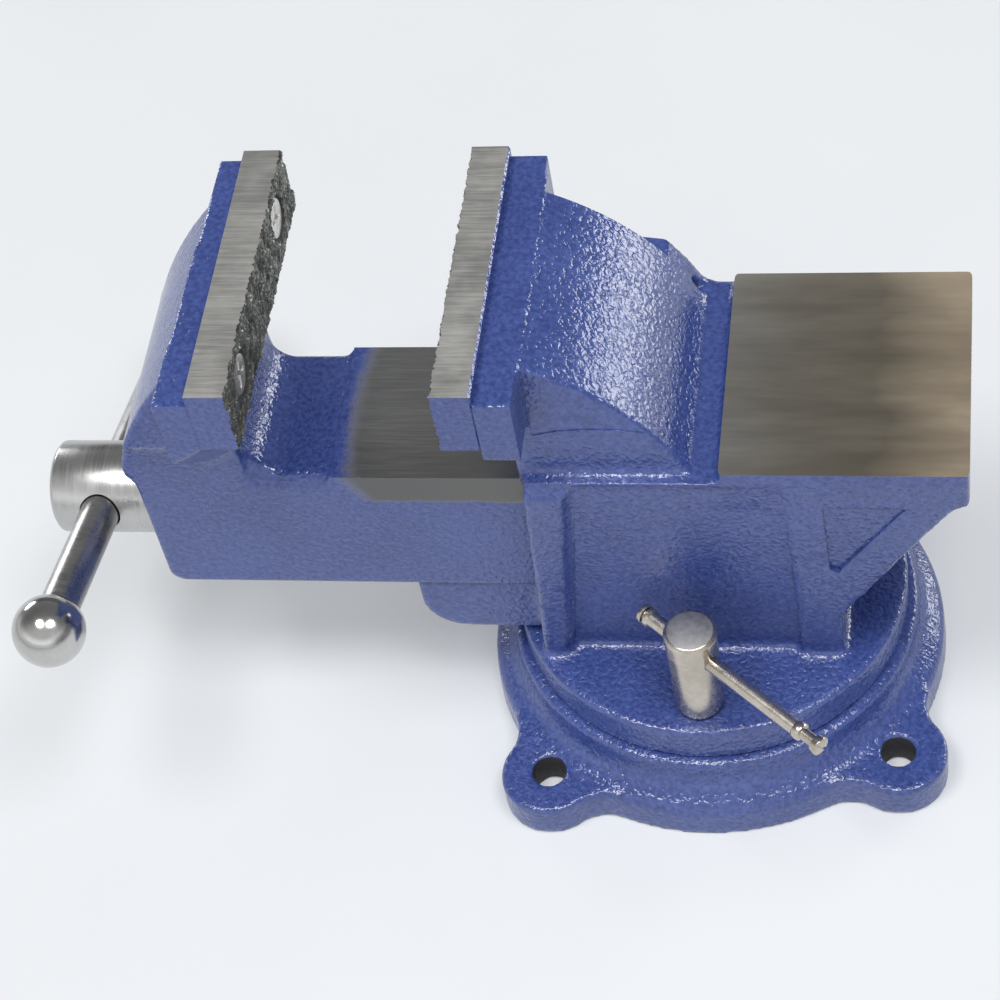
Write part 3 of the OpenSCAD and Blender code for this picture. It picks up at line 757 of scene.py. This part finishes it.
def jaw_plate(name, node, body, way, seed, broken):
    """Serrated plate with two countersunk screw holes."""
    low, high = box_of(node)
    face = high.x if way > 0 else low.x
    obj = object_from(name, plate_mesh(name, low, high, way, seed, broken))
    screws_low, screws_high = box_of(node.replace("plate", "screws"))
    screw_r = (screws_high.z - screws_low.z) / 2
    screw_z = (screws_high.z + screws_low.z) / 2
    for side in (-1, 1):
        cut(obj, countersink(face, way, side * (screws_high.y - screw_r), screw_z))
    smooth_by_angle(obj, 30)
    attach(obj, body)
    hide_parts(node)


jaw_plate("serrated_movable_plate", "movable_jaw_plate", "sliding_jaw", 1, 11, 0.06)
jaw_plate("serrated_fixed_plate", "fixed_jaw_plate", "vise_body", -1, 12, 0.6)


# ---------------------------------------------------------------- turned parts

def turned_piece(name, mesh, node, body, finishes, cutters=(), degrees=30):
    """Turned shape that stands for a CAD node."""
    obj = object_from(name, mesh)
    for finish in finishes:
        mesh.materials.append(finish)
    for cutter in cutters:
        cut(obj, cutter)
    smooth_by_angle(obj, degrees)
    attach(obj, body)
    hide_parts(node)
    return obj


def rounded(radius, along, size, way):
    """Points that round an outline's corner at (radius, along).

    The outline comes out from the axis and runs on along it where way is 1, and goes back in where it is -1.
    """
    angles = np.linspace(0, math.pi / 2, 5)
    if way > 0:
        return [(radius - size + size * math.sin(a), along + size - size * math.cos(a)) for a in angles]
    return [(radius - size + size * math.cos(a), along - size + size * math.sin(a)) for a in angles]


bar_r = (bar_high.x - bar_low.x) / 2
ball_r = (near_ball_high.x - near_ball_low.x) / 2
near_centre = (near_ball_low + near_ball_high) / 2
far_centre = (far_ball_low + far_ball_high) / 2
bar_start = 4  # the rod ends this far short of the centre of each ball
bar_end = (near_centre - far_centre).length - bar_start
rod_outline = [
    (0, bar_start), *rounded(bar_r, bar_start, 0.6, 1), *rounded(bar_r, bar_end, 0.6, -1), (0, bar_end),
]
turned_piece(
    "handle_rod", lathe_mesh("handle_rod", rod_outline, BAR_DIRECTION, far_centre, 80),
    "handle_bar", "handle", [BAR_STEEL],
)


def ball_outline():
    """Turned ball with a short neck where the bar enters."""
    neck = bar_r + 0.9
    start = math.asin(neck / ball_r)
    curve = [(ball_r * math.sin(a), -ball_r * math.cos(a)) for a in np.linspace(start, math.pi, 64)[:-1]]
    foot = -ball_r * math.cos(start)
    return [(0, foot + 2), (bar_r + 0.05, foot - 0.1), (neck - 0.25, foot - 0.1), *curve, (0, ball_r)]


for side, centre, way in (("near", near_centre, 1), ("far", far_centre, -1)):
    name = f"handle_{side}_knob"
    turned_piece(
        name, lathe_mesh(name, ball_outline(), BAR_DIRECTION * way, centre, 128),
        f"handle_ball_{side}", "handle", [POLISHED], degrees=40,
    )


THREAD_R = 9.98
THREAD_DEPTH = 2.0
LEAD = 4.0
core_r = THREAD_R - THREAD_DEPTH
head_r = (screw_high.z - screw_low.z) / 2
head_front = screw_low.x
head_length = washer_low.x - 0.05 - head_front
thread_start = collar_high.x + 3
thread_end = screw_high.x
shank_length = thread_start - head_front
head_outline = [
    (0, 0.25), (2.2, 0.25), (2.6, 0), (head_r - 1.5, 0), (head_r - 0.35, 0.9), (head_r, 1.7),
    (head_r, head_length - 1.2), (head_r - 0.3, head_length - 0.4), (head_r - 1, head_length),
    (THREAD_R, head_length), (THREAD_R, shank_length - 0.8), (core_r, shank_length), (0, shank_length),
]
cross_hole = cylinder_mesh(((bar_low.x + bar_high.x) / 2, 0, AXIS_Z), BAR_DIRECTION, bar_r + 0.5, 60)
turned_piece(
    "spindle_head", lathe_mesh("spindle_head", head_outline, (1, 0, 0), (head_front, 0, AXIS_Z), 128),
    "lead_screw", "spindle", [TURNED], [cross_hole],
)


def thread_mesh():
    """Screw with a real helical ridge of trapezoidal section."""
    around, step = 64, 0.25
    ridge_share, flank_share = 0.64, 0.14
    steps = int((thread_end - thread_start + 1) / step)
    along = np.linspace(thread_start - 1, thread_end, steps)
    angle = np.linspace(0, 2 * math.pi, around, endpoint=False)
    x, a = np.meshgrid(along, angle, indexing="ij")
    phase = ((x - thread_start) / LEAD - a / (2 * math.pi)) % 1
    ridge = np.clip(np.minimum(phase / flank_share, (ridge_share - phase) / flank_share), 0, 1)
    fade = np.clip((thread_end - x) / 3, 0, 1) * np.clip((x - thread_start + 0.5) / 2, 0, 1)
    r = core_r + THREAD_DEPTH * ridge * fade
    points = np.stack([x, r * np.cos(a), AXIS_Z + r * np.sin(a)], -1).reshape(-1, 3)
    faces = []
    for low in range(0, (steps - 1) * around, around):
        high = low + around
        faces += [(low + k, low + (k + 1) % around, high + (k + 1) % around, high + k) for k in range(around)]
    faces.append(tuple(reversed(range(around))))
    faces.append(tuple((steps - 1) * around + k for k in range(around)))
    faces = [tuple(reversed(f)) for f in faces]
    return mesh_from("spindle_thread", points * MM, faces)


turned_piece("spindle_thread", thread_mesh(), "lead_screw", "spindle", [TURNED])


# ---------------------------------------------------------------- swivel locks

FOOT_R = 7.6
LONG_END, SHORT_END = 54, -21.8
BAR_R, RING_R, NECK_R = 2.5, 3.2, 2.0
nut_r = (near_nut_high.x - near_nut_low.x) / 2
nut_height = near_nut_high.z - near_nut_low.z
bar_z = (lock_bar_low.z + lock_bar_high.z) / 2
nut_outline = [
    (0, 0), (FOOT_R - 1.5, 0), (FOOT_R - 0.5, 0.4), (FOOT_R, 1.3), (FOOT_R + 0.08, 3),
    (nut_r - 0.05, nut_height - 1.6), (nut_r - 0.15, nut_height - 1.1), (nut_r - 0.9, nut_height - 0.25),
    (nut_r - 1.3, nut_height - 0.02), (0, nut_height),
]
short_ring = [
    *rounded(RING_R, SHORT_END, 0.5, 1), (RING_R, SHORT_END + 1.2), (RING_R - 0.3, SHORT_END + 1.5),
    (NECK_R, SHORT_END + 1.7), (NECK_R, SHORT_END + 2.3),
    (RING_R - 0.3, SHORT_END + 2.5), (RING_R, SHORT_END + 2.8), (RING_R, SHORT_END + 3.5),
]
long_ring = [
    (RING_R - 0.35, LONG_END - 10), (RING_R - 0.2, LONG_END - 9.6),
    (RING_R - 0.2, LONG_END - 8), (RING_R - 0.4, LONG_END - 7.6),
    (NECK_R, LONG_END - 7.3), (NECK_R, LONG_END - 2.9),
    (RING_R - 0.3, LONG_END - 2.4), *rounded(RING_R, LONG_END, 0.4, -1),
]
lock_bar_outline = [
    (0, SHORT_END), *short_ring, (BAR_R, SHORT_END + 4.2),
    (BAR_R, LONG_END - 10.4), *long_ring, (0, LONG_END),
]


def end_notch(tip, heading):
    """Cutter for the slot across the bar's long end."""
    notch = box_mesh((-0.9, -0.45, -5), (0.9, 0.45, 5))
    across = heading.to_track_quat("X", "Z").to_matrix().to_4x4() @ Matrix.Rotation(math.radians(30), 4, "X")
    notch.transform(Matrix.Translation(tip * MM) @ across)
    return notch


for side, way in (("near", -1), ("far", 1)):
    heading = LOCK_DIRECTION * -way
    foot = Vector((0, way * LOCK_Y, near_nut_low.z))
    middle = Vector((0, way * LOCK_Y, bar_z))
    boss = turned_piece(
        f"{side}_lock_boss", lathe_mesh("nut", nut_outline, (0, 0, 1), foot, 96),
        f"lock_nut_{side}", f"{side}_lock_nut", [ZINC, ZINC_TOP],
        [cylinder_mesh(middle, heading, BAR_R + 0.1, 4 * nut_r, 48)],
    )
    for face in boss.data.polygons:
        if face.center.z > (near_nut_high.z - 0.3) * MM and face.normal.z > 0.9:
            face.material_index = 1
    turned_piece(
        f"{side}_lock_rod", lathe_mesh("rod", lock_bar_outline, heading, middle, 48),
        f"lock_bar_{side}", f"{side}_lock_bar", [ZINC],
        [end_notch(middle + heading * (LONG_END + 0.2), heading)],
    )


# ---------------------------------------------------------------- parts that keep their CAD shape

def bevelled(name, node, body, finish, width):
    """Copy of a CAD node with its sharp edges broken."""
    obj = object_from(name, welded(NODES[node].data, name))
    if width:
        step = obj.modifiers.new("broken_edges", "BEVEL")
        step.width = width * MM
        step.segments = 2
        step.limit_method = "ANGLE"
        step.angle_limit = math.radians(40)
        apply_modifiers(obj)
    obj.data.materials.append(finish)
    smooth_by_angle(obj, 35)
    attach(obj, body)
    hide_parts(node)


for name, node, body, finish, slot, width in (
    ("clamp_ring_casting", "clamp_ring", "vise_body", RAW_IRON, "raw_iron", 0.5),
    ("lock_bolt_pair", "lock_bolts", "vise_body", BLACK, "black_steel", 0.4),
    ("nut_casting", "main_nut", "vise_body", RAW_IRON, "raw_iron", 0.5),
    ("nut_fixing_bolt", "nut_bolt", "vise_body", BLACK, "black_steel", 0.4),
    ("nut_fixing_washer", "nut_washer", "vise_body", ZINC, "zinc_plate", 0.25),
    ("fixed_plate_screws", "fixed_jaw_screws", "vise_body", SCREW_STEEL, "zinc_plate", 0.12),
    ("movable_plate_screws", "movable_jaw_screws", "sliding_jaw", SCREW_STEEL, "zinc_plate", 0.12),
    ("spindle_washer", "thrust_washer", "spindle", ZINC, "zinc_plate", 0.25),
    ("spindle_spring", "return_spring", "spindle", BLACK, "black_steel", 0),
    ("spindle_collar", "retaining_collar", "spindle", BLACK, "black_steel", 0.5),
    ("spindle_collar_pin", "collar_pin", "spindle", ZINC, "zinc_plate", 0.25),
):
    bevelled(name, node, body, finish, width)


# ---------------------------------------------------------------- floor and room light

def pale_paper():
    made, tree, shader = material("pale_paper")
    dark, light = (0.555, 0.57, 0.585, 1), (0.575, 0.59, 0.605, 1)
    cloud = noise(tree, place(tree), 6, 3.0)
    tree.links.new(blended(tree, ranged(tree, cloud, 0.3, 0.7), dark, light), shader.inputs["Base Color"])
    shader.inputs["Roughness"].default_value = 0.9
    shader.inputs["Specular IOR Level"].default_value = 0.2
    shader.inputs["Emission Color"].default_value = (0.96, 0.98, 1, 1)
    shader.inputs["Emission Strength"].default_value = 0.22
    return made


FLOOR_HALF = 9  # metres
floor_corners = [(x * FLOOR_HALF, y * FLOOR_HALF, 0) for x, y in ((-1, -1), (1, -1), (1, 1), (-1, 1))]
floor = object_from("floor", mesh_from("floor", floor_corners, [(0, 1, 2, 3)]))
floor.data.materials.append(pale_paper())

# Brightness of the room by height, from the horizon up
ROOM_LEVELS = [(0.0, 0.85), (0.14, 0.78), (0.30, 0.38), (0.50, 0.22), (0.80, 0.20), (1.0, 0.26)]


def studio():
    """Pale room with a bright front wall, and dark low walls behind and on the right."""
    world = bpy.data.worlds.new("studio")
    world.use_nodes = True
    tree = world.node_tree
    tree.nodes.clear()
    right_way, depth_way, height = parts_of(tree, put(tree, "TexCoord").outputs["Generated"])
    stops = [(position, (level * 0.97, level * 0.985, level)) for position, level in ROOM_LEVELS]
    room = colour_ramp(tree, height, stops)
    front_wall = product(tree, ranged(tree, depth_way, 0.15, -0.75), ranged(tree, height, 0.10, 0.35))
    low_down = ranged(tree, height, 0.46, 0.24)
    dark_back = product(tree, ranged(tree, depth_way, 0.20, 0.70, 0.0, 0.80), low_down)
    dark_right = product(tree, ranged(tree, right_way, 0.30, 0.80, 0.0, 0.70), low_down)
    open_room = math_node(tree, "SUBTRACT", 1.0, math_node(tree, "MAXIMUM", dark_back, dark_right))
    strength = product(tree, math_node(tree, "MULTIPLY_ADD", front_wall, 2.6, 1.0), open_room)
    background = put(tree, "Background", {0: room, 1: strength})
    tree.links.new(background.outputs[0], put(tree, "OutputWorld").inputs[0])
    return world


bpy.context.scene.world = studio()


# ---------------------------------------------------------------- lamps and camera

def lamp(name, spot, target, size, watts, tint):
    """Soft oval lamp, sized in metres, that looks at a point."""
    light = bpy.data.lights.new(name, "AREA")
    light.shape = "ELLIPSE"
    light.size, light.size_y = size
    light.energy = watts
    light.color = tint
    obj = object_from(name, light)
    obj.location = spot
    obj.rotation_euler = (Vector(target) - Vector(spot)).to_track_quat("-Z", "Y").to_euler()


WHITE = (1, 1, 1)
DAYLIGHT = (0.96, 0.98, 1.0)
BODY_MIDDLE, JAW_MIDDLE = (0, 0, 0.1), (0, 0, 0.12)
lamp("overhead_left", (-0.42, -0.42, 1.45), BODY_MIDDLE, (0.60, 0.50), 9, WHITE)
lamp("overhead_right", (0.38, -0.36, 1.45), BODY_MIDDLE, (0.60, 0.50), 9, WHITE)
lamp("window_right", (1.3, 1.15, 0.42), JAW_MIDDLE, (0.9, 0.5), 9, DAYLIGHT)
lamp("window_left", (-1.3, 1.1, 0.45), JAW_MIDDLE, (0.6, 0.4), 5, DAYLIGHT)

# The camera's place in metres, and its turn from +Y towards +X, its tilt down and its roll in radians
CAMERA_PLACE = (0.0908333, -0.5213061, 0.7432514)
YAW, PITCH, ROLL = -0.2918285, 0.8850540, -0.2215054
ahead = Vector((math.sin(YAW) * math.cos(PITCH), math.cos(YAW) * math.cos(PITCH), -math.sin(PITCH)))
level_right = Vector((math.cos(YAW), -math.sin(YAW), 0))
level_up = level_right.cross(ahead)
right = math.cos(ROLL) * level_right + math.sin(ROLL) * level_up
up = -math.sin(ROLL) * level_right + math.cos(ROLL) * level_up
camera_data = bpy.data.cameras.new("camera")
camera_data.lens = 95.4
camera_data.sensor_width = 36
camera_data.clip_start, camera_data.clip_end = 0.05, 30
camera = object_from("camera", camera_data)
camera.matrix_world = Matrix.Translation(CAMERA_PLACE) @ Matrix((right, up, -ahead)).transposed().to_4x4()
bpy.context.scene.camera = camera
bpy.context.scene.view_settings.view_transform = "Standard"
